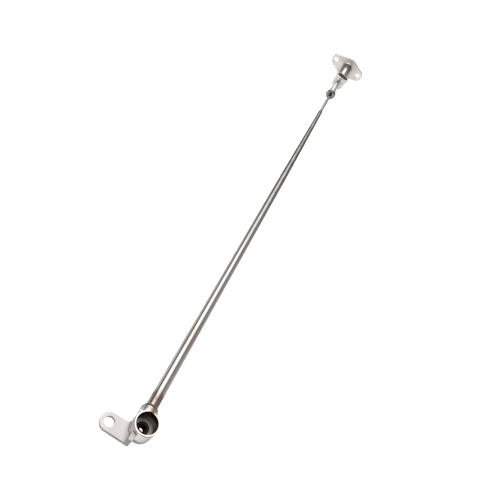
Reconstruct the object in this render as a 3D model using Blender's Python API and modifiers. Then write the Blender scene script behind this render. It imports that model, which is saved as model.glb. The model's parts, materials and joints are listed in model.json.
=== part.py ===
"""Gas strut stay with a pivot cup and lug at one end and a hinged two-bolt foot at the other.

The strut lies along X.  The foot's mounting face is the plane X = 0, centred on the
origin, and the strut runs from there towards -X, a little to the +Y side of both
pivots.  Both pivots have upright axes.
All sizes are in metres.
"""

from math import asin, atan2, cos, pi, sin, sqrt

import bmesh
import bpy
from mathutils import Vector

# ---------------------------------------------------------------- clearances
SEAT_GAP = 0.0003          # between pieces that touch and stay put
RUN_GAP = 0.00025          # radial, between pieces that slide or turn on each other
HINGE_GAP = 0.0004         # between the knuckles of the foot hinge
MERGE = 0.00001            # distance under which profile points are one point

# ---------------------------------------------------------------- edge breaks
EDGE_HAIR = 0.0001         # soft pieces
EDGE_FINE = 0.0002         # small turned pieces
EDGE_SMALL = 0.0003
EDGE_MEDIUM = 0.0004
EDGE_BARREL = 0.0005
EDGE_LARGE = 0.0006
EDGE_BOLD = 0.0008         # corners meant to be handled

# ---------------------------------------------------------------- pressure tube
TUBE_DIAMETER = 0.0108
TUBE_WALL = 0.0012
TUBE_LENGTH = 0.7420       # from the end inside the socket to the tip of the nose
NOSE_LENGTH = 0.2780       # long swaged taper at the rod end
NOSE_WALL = 0.0008         # wall at the tip of the nose

# ---------------------------------------------------------------- rod
ROD_DIAMETER = 0.0060
STROKE = 0.1000            # travel of the slide
NUT_CLEARANCE = 0.0080     # nose to lock nut with the strut pushed right in
SPIGOT_DIAMETER = 0.0030   # turned-down end that carries the piston

# ---------------------------------------------------------------- seal pack at the nose
PACK_SETBACK = 0.0020      # from the start of the taper back to the pack
GUIDE_LENGTH = 0.0120
SEAL_LENGTH = 0.0040
SEAL_WASHER_LENGTH = 0.0015
CIRCLIP_THICKNESS = 0.0010
WIPER_LENGTH = 0.0030
WIPER_SETBACK = 0.0560     # from the tip of the nose back to the wiper, where the bore is wider

# ---------------------------------------------------------------- piston
PISTON_LENGTH = 0.0100
PISTON_RING_WIDTH = 0.0024
PISTON_RING_DEPTH = 0.0008
PISTON_WASHER_THICKNESS = 0.0010
PISTON_NUT_LENGTH = 0.0030
PISTON_NUT_DIAMETER = 0.0056
PISTON_WASHER_DIAMETER = 0.0068
REBOUND_GAP = 0.0030       # piston to seal pack with the strut fully out

# ---------------------------------------------------------------- chamber plug
PLUG_LENGTH = 0.0200
PLUG_SETBACK = 0.0800      # from the tube's inner end to the plug
RING_WIDTH = 0.0020
RING_DEPTH = 0.0007

# ---------------------------------------------------------------- pivot cup
CUP_DIAMETER = 0.0230
CUP_BORE = 0.0196
CUP_ABOVE_AXIS = 0.0070
CUP_BELOW_AXIS = 0.0066
CUP_OFFSET = 0.0030        # cup axis off the tube's axis, towards -Y
CUP_EDGE = 0.0006
SOCKET_DIAMETER = 0.0162
SOCKET_ROOT = 0.0068       # from the cup's axis to where the socket starts inside the wall
SOCKET_REACH = 0.0154      # from the cup's axis to the socket's face
SOCKET_DEPTH = 0.0046
SOCKET_CHAMFER = 0.0012
SOCKET_FLAT = 0.0064       # below the axis, where the socket's underside is cut flat
SOCKET_WELD_LEG = 0.0016

# ---------------------------------------------------------------- lug
LUG_THICKNESS = 0.0039
LUG_RADIUS = 0.0082
LUG_REACH = 0.0267         # from the cup's axis to the lug's hole, along +Y
LUG_SETBACK = 0.0092       # from the cup's axis to the lug's centre line, along -X
LUG_HOLE = 0.0092
LUG_FILLET = 0.0035
LEG_FACE = 0.0070          # from the cup's axis to the upright leg's outer face, along +Y
LEG_TOP = 0.0028           # top of the leg above the tube's axis
FLOOR_HOLE = 0.0108

# ---------------------------------------------------------------- swivel bush
BUSH_FLANGE = 0.0124
BUSH_FLANGE_THICKNESS = 0.0012
BUSH_BORE = 0.0076
SLEEVE_BORE = 0.0056
SLEEVE_PROUD = 0.0006      # sleeve stands past the bush at both ends

# ---------------------------------------------------------------- rod end
LOCK_NUT_DIAMETER = 0.0214
LOCK_NUT_LENGTH = 0.0090
LOCK_NUT_DOME = 0.0025     # length of the cone at the nut's back
LOCK_NUT_CROWN = 0.0165    # diameter where that cone ends
LOCK_WASHER_DIAMETER = 0.0160
LOCK_WASHER_THICKNESS = 0.0012
JAM_RING_DIAMETER = 0.0122
JAM_RING_LENGTH = 0.0060
SHANK_DIAMETER = 0.0138
SHANK_THROAT = 0.0108
SHANK_LENGTH = 0.0704      # from the jam ring to the knuckle
SHANK_WAIST = 0.0060       # length of the thin part next to the jam ring
SHANK_FLARE = 0.0070       # length of the cone from thin to thick
SHANK_NECK = 0.0035        # length of the cone into the knuckle
ROD_TAIL = 0.0200          # how far the rod reaches into the shank

# ---------------------------------------------------------------- foot hinge
STRUT_OFFSET = 0.0025      # strut's axis off the hinge's axis, towards +Y
BARREL_TOP_DIAMETER = 0.0330
BARREL_FOOT_DIAMETER = 0.0260
BARREL_ABOVE = 0.0155
BARREL_BELOW = 0.0125
KNUCKLE_DIAMETER = 0.0290
KNUCKLE_HEIGHT = 0.0110
KNUCKLE_BORE = 0.0126
KNUCKLE_ROOT_DROP = 0.0003 # shank's root inside the knuckle's faces
KNUCKLE_ROOT_END = 0.0083  # from the hinge axis to where the root stops
PIN_DIAMETER = 0.0080
PIN_SHORT = 0.0010         # pin's end below the floor of the cap's recess
TOP_CAP_DIAMETER = 0.0268
FOOT_CAP_DIAMETER = 0.0200
CAP_RECESS = 0.0016
CAP_SINK = 0.0003          # cap's face below the barrel's rim
FORK_SHANK_DIAMETER = 0.0172
FORK_ROOT = 0.0070         # from the hinge axis to where the fork's shank starts inside
FORK_REACH = 0.0620        # from the hinge axis to the end of the fork's shank

# ---------------------------------------------------------------- foot
FOOT_REACH = 0.1160        # from the hinge axis to the flange's front face
POST_DIAMETER = 0.0240
POST_START = 0.0215        # from the hinge axis to the near end of the post
POST_WELD_LEG = 0.0018

# ---------------------------------------------------------------- fillet welds
WELD_TOE = 0.0002          # thickness of a weld at its thin end
WELD_HOLLOW = 0.42         # share of the leg where the weld's hollow face is measured

# ---------------------------------------------------------------- flange
FLANGE_THICKNESS = 0.0100
FLANGE_MIDDLE_RADIUS = 0.0245
FLANGE_TIP_RADIUS = 0.0130
FLANGE_HOLE_SPACING = 0.0682
FLANGE_HOLE = 0.0105
FLANGE_EDGE = 0.0008

# ---------------------------------------------------------------- smoothness
FINE = 48                  # sides of the big round pieces
MEDIUM = 36
SMALL = 28                 # sides of the hidden pieces

# ---------------------------------------------------------------- worked-out places along X
ROD_SHOWING = STROKE + NUT_CLEARANCE
TUBE_RADIUS = TUBE_DIAMETER / 2
BORE_RADIUS = TUBE_RADIUS - TUBE_WALL
ROD_RADIUS = ROD_DIAMETER / 2
NOSE_BORE_RADIUS = ROD_RADIUS + RUN_GAP
ROD_END_REACH = (
    LOCK_NUT_LENGTH + LOCK_WASHER_THICKNESS + JAM_RING_LENGTH + 3 * SEAT_GAP
    + SHANK_LENGTH + KNUCKLE_DIAMETER / 2
)

HINGE_X = -(FLANGE_THICKNESS + FOOT_REACH)
NUT_X = HINGE_X - ROD_END_REACH
NOSE_TIP_X = NUT_X - ROD_SHOWING
TAPER_X = NOSE_TIP_X - NOSE_LENGTH
TUBE_END_X = NOSE_TIP_X - TUBE_LENGTH
SOCKET_FACE_X = TUBE_END_X - SEAT_GAP + SOCKET_DEPTH
CUP_X = SOCKET_FACE_X - SOCKET_REACH
CUP_CENTRE = Vector((CUP_X, STRUT_OFFSET - CUP_OFFSET, 0.0))
PACK_X = TAPER_X - PACK_SETBACK
PISTON_FACE_X = (
    PACK_X - GUIDE_LENGTH - SEAL_LENGTH - SEAL_WASHER_LENGTH - CIRCLIP_THICKNESS
    - 3 * SEAT_GAP - REBOUND_GAP
)

FLOOR_TOP = -CUP_BELOW_AXIS - SEAT_GAP
FLOOR_BOTTOM = FLOOR_TOP - LUG_THICKNESS


# ================================================================ scene and materials
def clear_scene():
    """Remove every object that the start-up file holds."""
    for item in list(bpy.data.objects):
        bpy.data.objects.remove(item, do_unlink=True)


def new_collection(name):
    collection = bpy.data.collections.new(name)
    bpy.context.scene.collection.children.link(collection)
    return collection


def finish(name, colour, roughness, metallic):
    """A plain Principled material with one colour."""
    material = bpy.data.materials.new(name)
    material.use_nodes = True
    shader = material.node_tree.nodes["Principled BSDF"]
    shader.inputs["Base Color"].default_value = (*colour, 1.0)
    shader.inputs["Roughness"].default_value = roughness
    shader.inputs["Metallic"].default_value = metallic
    return material


clear_scene()
STRUT = new_collection("gas_strut_stay")
CUTTERS = new_collection("cutters")

POLISHED_STEEL = finish("polished_stainless", (0.60, 0.59, 0.58), 0.16, 1.0)
SATIN_STEEL = finish("satin_stainless", (0.68, 0.67, 0.66), 0.34, 1.0)
WELDED_STEEL = finish("welded_steel", (0.36, 0.32, 0.29), 0.42, 1.0)
DARK_STEEL = finish("dark_steel", (0.11, 0.095, 0.085), 0.38, 1.0)
HARD_CHROME = finish("hard_chrome", (0.66, 0.67, 0.68), 0.10, 1.0)
SPRING_STEEL = finish("spring_steel", (0.22, 0.22, 0.24), 0.35, 1.0)
BLACK_PLASTIC = finish("black_plastic", (0.012, 0.012, 0.012), 0.45, 0.0)
SEAL_RUBBER = finish("seal_rubber", (0.02, 0.02, 0.02), 0.70, 0.0)
BEARING_BRONZE = finish("bearing_bronze", (0.52, 0.33, 0.15), 0.38, 1.0)
ALUMINIUM = finish("turned_aluminium", (0.72, 0.72, 0.73), 0.30, 1.0)


# ================================================================ shape helpers
def chamfered(corners, closed):
    """Turn (along, radius, chamfer) corners into profile points with cut corners."""
    points = []
    count = len(corners)
    for index, (along, radius, cut) in enumerate(corners):
        here = Vector((along, radius))
        at_end = not closed and index in (0, count - 1)
        if cut <= 0.0 or at_end:
            points.append(here)
            continue
        for other in (corners[index - 1], corners[(index + 1) % count]):
            towards = (Vector(other[:2]) - here).normalized()
            points.append(here + towards * cut)
    return points


def turned(name, corners, material, centre, upright=False, closed=True, sides=MEDIUM):
    """A turned piece: the profile runs down its outer side from the far or top end.

    Corners are (along, radius, chamfer), measured from the centre along +X, or along +Z
    for an upright piece.  A closed profile makes a ring, an open one a solid.
    """
    points = chamfered(corners, closed)
    mesh = bpy.data.meshes.new(name)
    edges = [(i, i + 1) for i in range(len(points) - 1)]
    if closed:
        edges.append((len(points) - 1, 0))
    mesh.from_pydata([(radius, 0.0, along) for along, radius in points], edges, [])
    piece = bpy.data.objects.new(name, mesh)
    STRUT.objects.link(piece)
    piece.data.materials.append(material)
    piece.location = centre
    if not upright:
        piece.rotation_euler = (0.0, pi / 2, 0.0)
    screw = piece.modifiers.new("turn", "SCREW")
    screw.axis = "Z"
    screw.angle = 2 * pi
    screw.steps = sides
    screw.render_steps = sides
    screw.use_merge_vertices = True
    screw.merge_threshold = MERGE
    screw.use_smooth_shade = True
    return piece


def ring_corners(low, high, inner, outer, edge):
    return [(high, outer, edge), (low, outer, edge), (low, inner, 0.0), (high, inner, 0.0)]


def ring(name, low, high, inner, outer, material, centre, edge=EDGE_FINE, upright=False, sides=SMALL):
    """A plain ring between two places along its axis."""
    return turned(name, ring_corners(low, high, inner, outer, edge), material, centre,
                  upright=upright, sides=sides)


def solid_corners(low, high, radius, edge):
    return [(high, 0.0, 0.0), (high, radius, edge), (low, radius, edge), (low, 0.0, 0.0)]


def round_bar(name, low, high, radius, material, centre, edge=EDGE_FINE, upright=False, sides=SMALL):
    """A plain solid cylinder between two places along its axis."""
    return turned(name, solid_corners(low, high, radius, edge), material, centre,
                  upright=upright, closed=False, sides=sides)


def evaluated_mesh(piece):
    """A plain mesh of the piece as its modifiers leave it, with loose caps welded."""
    bpy.context.view_layer.update()
    graph = bpy.context.evaluated_depsgraph_get()
    mesh = bpy.data.meshes.new_from_object(piece.evaluated_get(graph))
    work = bmesh.new()
    work.from_mesh(mesh)
    bmesh.ops.remove_doubles(work, verts=work.verts, dist=MERGE)
    bmesh.ops.recalc_face_normals(work, faces=work.faces)
    work.to_mesh(mesh)
    work.free()
    return mesh


def arc(centre, radius, start, end, steps):
    """Points along an arc, both ends included, for angles in radians."""
    turn = end - start
    return [
        (centre[0] + radius * cos(start + turn * i / steps),
         centre[1] + radius * sin(start + turn * i / steps))
        for i in range(steps + 1)
    ]


def plate(name, outline, holes, thickness, material):
    """A flat plate round its own mid-plane, from an outline and a list of round holes."""
    curve = bpy.data.curves.new(name, "CURVE")
    curve.dimensions = "2D"
    curve.fill_mode = "BOTH"
    curve.extrude = thickness / 2
    loops = [outline] + [arc(centre, radius, 0.0, 2 * pi, sides)[:-1]
                         for centre, radius, sides in holes]
    for loop in loops:
        spline = curve.splines.new("POLY")
        spline.points.add(len(loop) - 1)
        for point, (across, up) in zip(spline.points, loop):
            point.co = (across, up, 0.0, 1.0)
        spline.use_cyclic_u = True
    outline_piece = bpy.data.objects.new(name + "_outline", curve)
    STRUT.objects.link(outline_piece)
    piece = bpy.data.objects.new(name, evaluated_mesh(outline_piece))
    bpy.data.objects.remove(outline_piece, do_unlink=True)
    STRUT.objects.link(piece)
    piece.data.materials.clear()
    piece.data.materials.append(material)
    return piece


def soften(piece, width, segments=1, angle=1.0):
    """Rounded edges where faces meet more sharply than the angle."""
    bevel = piece.modifiers.new("edges", "BEVEL")
    bevel.width = width
    bevel.segments = segments
    bevel.limit_method = "ANGLE"
    bevel.angle_limit = angle


def as_cutter(piece):
    """Move a piece to the cutters, where it is only a tool for a Boolean."""
    STRUT.objects.unlink(piece)
    CUTTERS.objects.link(piece)
    piece.hide_render = True
    piece.display_type = "WIRE"
    return piece


def combine(piece, other, operation):
    """Add the other solid to the piece, or take it away, and weld the new corners."""
    step = piece.modifiers.new(operation.lower(), "BOOLEAN")
    step.operation = operation
    step.solver = "EXACT"
    step.object = as_cutter(other)
    weld = piece.modifiers.new("weld", "WELD")
    weld.merge_threshold = MERGE


def round_cutter(name, low, high, radius, centre, upright=False, sides=MEDIUM):
    return round_bar(name, low, high, radius, SATIN_STEEL, centre, edge=0.0,
                     upright=upright, sides=sides)


def shade(piece):
    """Smooth shading with sharp edges kept."""
    if piece.type == "MESH" and piece.data.polygons:
        piece.data.shade_smooth()
        piece.data.set_sharp_from_angle(angle=0.6)


def on_axis(along_x):
    """A place on the strut's axis."""
    return Vector((along_x, STRUT_OFFSET, 0.0))


def on_foot(along_x):
    """A place on the foot's own middle line."""
    return Vector((along_x, 0.0, 0.0))


# ================================================================ pressure tube and its inside
def make_tube():
    """Drawn tube with a long swaged nose; the bore tapers with it down to the rod's fit."""
    tip_outer = NOSE_BORE_RADIUS + NOSE_WALL
    corners = [
        (TUBE_LENGTH, tip_outer, EDGE_FINE),
        (TUBE_LENGTH - NOSE_LENGTH, TUBE_RADIUS, 0.0),
        (0.0, TUBE_RADIUS, EDGE_SMALL),
        (0.0, BORE_RADIUS, 0.0),
        (TUBE_LENGTH - NOSE_LENGTH, BORE_RADIUS, 0.0),
        (TUBE_LENGTH, NOSE_BORE_RADIUS, 0.0),
    ]
    turned("pressure_tube", corners, POLISHED_STEEL, on_axis(TUBE_END_X), sides=FINE)


def make_chamber_plug():
    """Plug that closes the gas chamber, with a groove for its O-ring."""
    radius = BORE_RADIUS - SEAT_GAP
    middle = PLUG_LENGTH / 2
    groove = RING_WIDTH / 2 + SEAT_GAP
    floor = radius - RING_DEPTH - SEAT_GAP
    corners = [
        (PLUG_LENGTH, 0.0, 0.0),
        (PLUG_LENGTH, radius, EDGE_MEDIUM),
        (middle + groove, radius, 0.0),
        (middle + groove, floor, 0.0),
        (middle - groove, floor, 0.0),
        (middle - groove, radius, 0.0),
        (0.0, radius, EDGE_MEDIUM),
        (0.0, 0.0, 0.0),
    ]
    start = TUBE_END_X + PLUG_SETBACK
    turned("chamber_plug", corners, ALUMINIUM, on_axis(start), closed=False, sides=SMALL)
    ring("plug_o_ring", middle - RING_WIDTH / 2, middle + RING_WIDTH / 2,
         radius - RING_DEPTH, BORE_RADIUS - RUN_GAP / 2, SEAL_RUBBER, on_axis(start))


def make_seal_pack():
    """Guide, seal, backing washer and circlip, stacked back from the start of the taper."""
    inner = ROD_RADIUS + RUN_GAP
    outer = BORE_RADIUS - SEAT_GAP
    stack = (
        ("rod_guide", GUIDE_LENGTH, BEARING_BRONZE),
        ("rod_seal", SEAL_LENGTH, SEAL_RUBBER),
        ("seal_washer", SEAL_WASHER_LENGTH, SATIN_STEEL),
        ("guide_circlip", CIRCLIP_THICKNESS, SPRING_STEEL),
    )
    high = PACK_X
    for name, length, material in stack:
        ring(name, -length, 0.0, inner, outer, material, on_axis(high), edge=EDGE_HAIR)
        high -= length + SEAT_GAP


def nose_bore_at(along_x):
    """Radius of the tapering bore at a place along X."""
    share = (along_x - TAPER_X) / NOSE_LENGTH
    return BORE_RADIUS + (NOSE_BORE_RADIUS - BORE_RADIUS) * share


def make_wiper():
    """Rubber wiper ring in the nose, its outer side tapered to the bore."""
    high = NOSE_TIP_X - WIPER_SETBACK
    low = high - WIPER_LENGTH
    inner = ROD_RADIUS + RUN_GAP / 2
    gap = RUN_GAP / 2
    corners = [
        (WIPER_LENGTH, nose_bore_at(high) - gap, 0.0),
        (0.0, nose_bore_at(low) - gap, 0.0),
        (0.0, inner, 0.0),
        (WIPER_LENGTH, inner, 0.0),
    ]
    turned("rod_wiper", corners, SEAL_RUBBER, on_axis(low), sides=SMALL)


# ================================================================ piston and rod
def make_piston():
    """Piston on the rod's spigot, with a sliding ring and a check washer on its rod side."""
    radius = BORE_RADIUS - RUN_GAP
    inner = SPIGOT_DIAMETER / 2 + RUN_GAP
    middle = PISTON_LENGTH / 2
    groove = PISTON_RING_WIDTH / 2 + SEAT_GAP
    floor = radius - PISTON_RING_DEPTH - SEAT_GAP
    corners = [
        (PISTON_LENGTH, radius, EDGE_MEDIUM),
        (middle + groove, radius, 0.0),
        (middle + groove, floor, 0.0),
        (middle - groove, floor, 0.0),
        (middle - groove, radius, 0.0),
        (0.0, radius, EDGE_MEDIUM),
        (0.0, inner, 0.0),
        (PISTON_LENGTH, inner, 0.0),
    ]
    start = on_axis(PISTON_FACE_X - PISTON_WASHER_THICKNESS - SEAT_GAP - PISTON_LENGTH)
    pieces = [
        turned("piston", corners, ALUMINIUM, start, sides=SMALL),
        ring("piston_ring", middle - PISTON_RING_WIDTH / 2, middle + PISTON_RING_WIDTH / 2,
             radius - PISTON_RING_DEPTH, BORE_RADIUS - RUN_GAP / 2, SEAL_RUBBER, start),
        ring("piston_washer", -PISTON_WASHER_THICKNESS, 0.0, inner, PISTON_WASHER_DIAMETER / 2,
             SPRING_STEEL, on_axis(PISTON_FACE_X), edge=EDGE_HAIR),
    ]
    return pieces


def make_rod():
    """Hard-chromed rod with a spigot for the piston and a tail inside the rod end."""
    spigot_length = (PISTON_WASHER_THICKNESS + PISTON_LENGTH + 3 * SEAT_GAP + PISTON_NUT_LENGTH)
    shoulder = PISTON_FACE_X + SEAT_GAP
    tail = NUT_X + LOCK_NUT_LENGTH + LOCK_WASHER_THICKNESS + JAM_RING_LENGTH + 3 * SEAT_GAP + ROD_TAIL
    corners = [
        (tail - shoulder, 0.0, 0.0),
        (tail - shoulder, ROD_RADIUS, EDGE_LARGE),
        (0.0, ROD_RADIUS, EDGE_MEDIUM),
        (0.0, SPIGOT_DIAMETER / 2, 0.0),
        (-spigot_length, SPIGOT_DIAMETER / 2, EDGE_FINE),
        (-spigot_length, 0.0, 0.0),
    ]
    rod = turned("piston_rod", corners, HARD_CHROME, on_axis(shoulder), closed=False, sides=MEDIUM)
    nut_face = PISTON_FACE_X - PISTON_WASHER_THICKNESS - 2 * SEAT_GAP - PISTON_LENGTH
    nut = ring("piston_nut", -PISTON_NUT_LENGTH + SEAT_GAP, 0.0, SPIGOT_DIAMETER / 2 + SEAT_GAP,
               PISTON_NUT_DIAMETER / 2, SATIN_STEEL, on_axis(nut_face), edge=EDGE_SMALL)
    return [rod, nut]


# ================================================================ rod end
def make_lock_nut():
    """Round dark lock nut, domed at the back, with a thin bright washer and a jam ring."""
    inner = ROD_RADIUS + SEAT_GAP
    outer = LOCK_NUT_DIAMETER / 2
    corners = [
        (LOCK_NUT_LENGTH, LOCK_NUT_CROWN / 2, 0.0),
        (LOCK_NUT_LENGTH - LOCK_NUT_DOME, outer, EDGE_LARGE),
        (0.0, outer, EDGE_BOLD),
        (0.0, inner, 0.0),
        (LOCK_NUT_LENGTH, inner, 0.0),
    ]
    nut = turned("lock_nut", corners, DARK_STEEL, on_axis(NUT_X), sides=MEDIUM)
    washer_x = NUT_X + LOCK_NUT_LENGTH + SEAT_GAP
    washer = ring("lock_washer", 0.0, LOCK_WASHER_THICKNESS, inner, LOCK_WASHER_DIAMETER / 2,
                  SATIN_STEEL, on_axis(washer_x), sides=MEDIUM)
    jam_x = washer_x + LOCK_WASHER_THICKNESS + SEAT_GAP
    jam = ring("jam_ring", 0.0, JAM_RING_LENGTH, inner, JAM_RING_DIAMETER / 2,
               DARK_STEEL, on_axis(jam_x), edge=EDGE_BOLD, sides=MEDIUM)
    return [nut, washer, jam]


def make_rod_end():
    """Waisted shank with a blind bore for the rod, grown into the hinge's middle knuckle."""
    knuckle_half = KNUCKLE_HEIGHT / 2
    root = knuckle_half - KNUCKLE_ROOT_DROP
    face = -(SHANK_LENGTH + KNUCKLE_DIAMETER / 2)
    clear = -(BARREL_TOP_DIAMETER / 2 + HINGE_GAP)
    throat = SHANK_THROAT / 2
    full = SHANK_DIAMETER / 2
    bore = ROD_RADIUS + SEAT_GAP
    bore_floor = face + ROD_TAIL + SEAT_GAP
    corners = [
        (-KNUCKLE_ROOT_END, 0.0, 0.0),
        (-KNUCKLE_ROOT_END, root, 0.0),
        (clear, root, 0.0),
        (clear - SHANK_NECK, full, EDGE_BOLD),
        (face + SHANK_WAIST + SHANK_FLARE, full, EDGE_BOLD),
        (face + SHANK_WAIST, throat, EDGE_BOLD),
        (face, throat, EDGE_MEDIUM),
        (face, bore, 0.0),
        (bore_floor, bore, 0.0),
        (bore_floor, 0.0, 0.0),
    ]
    shank = turned("rod_end", corners, SATIN_STEEL, on_axis(HINGE_X), closed=False, sides=MEDIUM)
    combine(shank, round_bar("knuckle_disc", -knuckle_half, knuckle_half, KNUCKLE_DIAMETER / 2,
                             SATIN_STEEL, on_foot(HINGE_X), edge=EDGE_MEDIUM, upright=True, sides=FINE),
            "UNION")
    combine(shank, round_cutter("knuckle_bore", -KNUCKLE_HEIGHT, KNUCKLE_HEIGHT, KNUCKLE_BORE / 2,
                                on_foot(HINGE_X), upright=True), "DIFFERENCE")
    liner = ring("knuckle_bush", -knuckle_half, knuckle_half, PIN_DIAMETER / 2 + RUN_GAP,
                 KNUCKLE_BORE / 2 - SEAT_GAP, BEARING_BRONZE, on_foot(HINGE_X), upright=True)
    return [shank, liner]


# ================================================================ foot
def fillet_weld(name, inner, leg, root, towards, centre):
    """Ring of weld round a bar: one leg on the root face, one along the bar from it."""
    profile = [
        (root, inner + leg, 0.0),
        (root + towards * leg * WELD_HOLLOW, inner + leg * WELD_HOLLOW, 0.0),
        (root + towards * leg, inner + WELD_TOE, 0.0),
        (root + towards * leg, inner, 0.0),
        (root, inner, 0.0),
    ]
    corners = profile if towards < 0.0 else [profile[i] for i in (2, 1, 0, 4, 3)]
    return turned(name, corners, WELDED_STEEL, centre, sides=MEDIUM)


def make_fork():
    """Hinge fork: a tapered barrel cut out for the knuckle, and a shank behind it."""
    slot_half = KNUCKLE_HEIGHT / 2 + HINGE_GAP
    centre = on_foot(HINGE_X)
    barrel = [
        (BARREL_ABOVE, 0.0, 0.0),
        (BARREL_ABOVE, BARREL_TOP_DIAMETER / 2, EDGE_BARREL),
        (-BARREL_BELOW, BARREL_FOOT_DIAMETER / 2, EDGE_BARREL),
        (-BARREL_BELOW, 0.0, 0.0),
    ]
    fork = turned("hinge_fork", barrel, SATIN_STEEL, centre, upright=True, closed=False,
                  sides=FINE)
    combine(fork, round_bar("fork_shank", FORK_ROOT, FORK_REACH, FORK_SHANK_DIAMETER / 2, SATIN_STEEL,
                            centre, edge=EDGE_LARGE, sides=MEDIUM), "UNION")
    combine(fork, round_cutter("fork_slot", -slot_half, slot_half,
                               BARREL_TOP_DIAMETER / 2 + HINGE_GAP, centre, upright=True,
                               sides=FINE), "DIFFERENCE")
    combine(fork, round_cutter("fork_bore", -2 * BARREL_BELOW, 2 * BARREL_ABOVE,
                               PIN_DIAMETER / 2 + SEAT_GAP, centre, upright=True), "DIFFERENCE")
    for name, low, high, diameter in (
        ("cap_recess_top", BARREL_ABOVE - CAP_RECESS, 2 * BARREL_ABOVE, TOP_CAP_DIAMETER),
        ("cap_recess_foot", -2 * BARREL_BELOW, CAP_RECESS - BARREL_BELOW, FOOT_CAP_DIAMETER),
    ):
        combine(fork, round_cutter(name, low, high, diameter / 2 + SEAT_GAP, centre,
                                   upright=True, sides=FINE), "DIFFERENCE")
    return fork


def make_hinge_pin():
    """Pin through fork and knuckle, with a black cap over each end."""
    centre = on_foot(HINGE_X)
    shorter = CAP_RECESS + PIN_SHORT
    pin = round_bar("hinge_pin", shorter - BARREL_BELOW, BARREL_ABOVE - shorter,
                    PIN_DIAMETER / 2, HARD_CHROME, centre, edge=EDGE_MEDIUM, upright=True)
    floor = CAP_RECESS - SEAT_GAP
    top = round_bar("hinge_cap_top", BARREL_ABOVE - floor, BARREL_ABOVE - CAP_SINK,
                    TOP_CAP_DIAMETER / 2, BLACK_PLASTIC, centre, edge=EDGE_MEDIUM, upright=True,
                    sides=FINE)
    foot = round_bar("hinge_cap_bottom", CAP_SINK - BARREL_BELOW, floor - BARREL_BELOW,
                     FOOT_CAP_DIAMETER / 2, BLACK_PLASTIC, centre, edge=EDGE_MEDIUM, upright=True,
                     sides=FINE)
    return [pin, top, foot]


def make_post():
    """Polished post: a thick sleeve over the fork's shank, closed at the flange by the plate."""
    inner = FORK_SHANK_DIAMETER / 2 + SEAT_GAP
    return ring("foot_post", POST_START, FOOT_REACH - SEAT_GAP, inner, POST_DIAMETER / 2,
                POLISHED_STEEL, on_foot(HINGE_X), edge=EDGE_LARGE, sides=FINE)


def make_post_weld():
    """Fillet weld between the post and the flange."""
    return fillet_weld("post_weld", POST_DIAMETER / 2 + SEAT_GAP, POST_WELD_LEG,
                       FOOT_REACH - SEAT_GAP, -1.0, on_foot(HINGE_X))


def flange_outline():
    """Oval flange: a big circle in the middle and a small one round each bolt hole."""
    half = FLANGE_HOLE_SPACING / 2
    big = FLANGE_MIDDLE_RADIUS
    small = FLANGE_TIP_RADIUS
    lean = asin((big - small) / half)
    points = []
    for side in (0.0, pi):
        points += arc((half * cos(side), 0.0), small, side - pi / 2 + lean, side + pi / 2 - lean, 14)
        points += arc((0.0, 0.0), big, side + pi / 2 - lean, side + pi / 2 + lean, 8)
    return points


def make_flange():
    """Flat two-bolt flange; its back is the stay's mounting face."""
    half = FLANGE_HOLE_SPACING / 2
    holes = [((side * half, 0.0), FLANGE_HOLE / 2, MEDIUM) for side in (-1.0, 1.0)]
    flange = plate("foot_flange", flange_outline(), holes, FLANGE_THICKNESS, SATIN_STEEL)
    flange.location = (-FLANGE_THICKNESS / 2, 0.0, 0.0)
    flange.rotation_euler = (pi / 2, 0.0, pi / 2)
    soften(flange, FLANGE_EDGE)
    shade(flange)
    return flange


# ================================================================ pivot cup and lug
def make_cup():
    """Open pivot cup with the tube's socket grown out of its side, flat underneath."""
    cup = round_bar("pivot_cup", -CUP_BELOW_AXIS, CUP_ABOVE_AXIS, CUP_DIAMETER / 2, SATIN_STEEL,
                    CUP_CENTRE, edge=CUP_EDGE, upright=True, sides=FINE)
    profile = [
        (SOCKET_REACH, 0.0, 0.0),
        (SOCKET_REACH, SOCKET_DIAMETER / 2, SOCKET_CHAMFER),
        (SOCKET_ROOT, SOCKET_DIAMETER / 2, 0.0),
        (SOCKET_ROOT, 0.0, 0.0),
    ]
    socket = turned("socket_boss", profile, SATIN_STEEL, on_axis(CUP_X), closed=False, sides=FINE)
    combine(socket, round_cutter("socket_underside", -2 * SOCKET_FLAT, -SOCKET_FLAT,
                                 2 * SOCKET_REACH, on_axis(CUP_X), upright=True), "DIFFERENCE")
    combine(cup, socket, "UNION")
    combine(cup, round_cutter("cup_bore", -2 * CUP_BELOW_AXIS, 2 * CUP_ABOVE_AXIS, CUP_BORE / 2,
                              CUP_CENTRE, upright=True, sides=FINE), "DIFFERENCE")
    combine(cup, round_cutter("socket_bore", SOCKET_REACH - SOCKET_DEPTH, 2 * SOCKET_REACH,
                              TUBE_RADIUS + SEAT_GAP, on_axis(CUP_X), sides=FINE), "DIFFERENCE")
    return cup


def make_socket_weld():
    """Fillet weld where the tube leaves the socket."""
    fillet_weld("socket_weld", TUBE_RADIUS + SEAT_GAP, SOCKET_WELD_LEG, SEAT_GAP, 1.0,
                on_axis(SOCKET_FACE_X))


def lug_outline():
    """Lug and floor in one outline round the cup's axis, with a fillet in the far corner."""
    disc = CUP_DIAMETER / 2
    near_edge = -LUG_SETBACK - LUG_RADIUS
    far_edge = -LUG_SETBACK + LUG_RADIUS
    fillet_x = far_edge + LUG_FILLET
    fillet_y = sqrt((disc + LUG_FILLET) ** 2 - fillet_x ** 2)
    meet = atan2(fillet_y, fillet_x)
    leg_root = LEG_FACE - LUG_THICKNESS
    points = [(near_edge, leg_root)]
    points += arc((-LUG_SETBACK, LUG_REACH), LUG_RADIUS, pi, 0.0, 20)
    points += arc((fillet_x, fillet_y), LUG_FILLET, pi, pi + meet, 6)
    points += arc((0.0, 0.0), disc, meet, -pi - asin(leg_root / disc), 40)[1:]
    return points


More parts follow.
